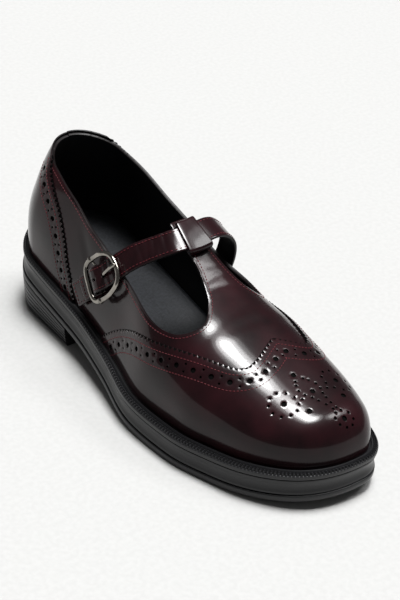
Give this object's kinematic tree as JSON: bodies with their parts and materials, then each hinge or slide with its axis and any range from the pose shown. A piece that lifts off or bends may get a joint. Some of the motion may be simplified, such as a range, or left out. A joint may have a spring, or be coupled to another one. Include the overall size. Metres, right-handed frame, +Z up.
{
  "type": "T-bar buckle brogue shoe",
  "caption": "Right T-bar brogue shoe in polished oxblood leather with a buckled strap, wing cap, heel counter and thick black rubber sole.",
  "frame": {"origin": "on the floor under the middle of the shoe's bounding box", "axes": "+Y from heel to toe, +X towards the outer side of the foot, +Z up"},
  "size_m": [0.1023, 0.27, 0.1057],
  "materials": {
    "upper_leather": "polished oxblood",
    "insole_leather": "matt dark grey",
    "sole_rubber": "satin black",
    "nickel": "polished"
  },
  "bodies": {
    "root": {"outsole": "sole_rubber", "midsole": "sole_rubber", "welt": "sole_rubber", "heel": "sole_rubber", "insole": "insole_leather", "upper": "upper_leather", "wing_cap": "upper_leather", "heel_counter": "upper_leather", "strap": "upper_leather", "buckle_strap": "upper_leather", "strap_loop": "upper_leather", "buckle_frame": "nickel", "buckle_prong": "nickel"}
  },
  "joints": []
}
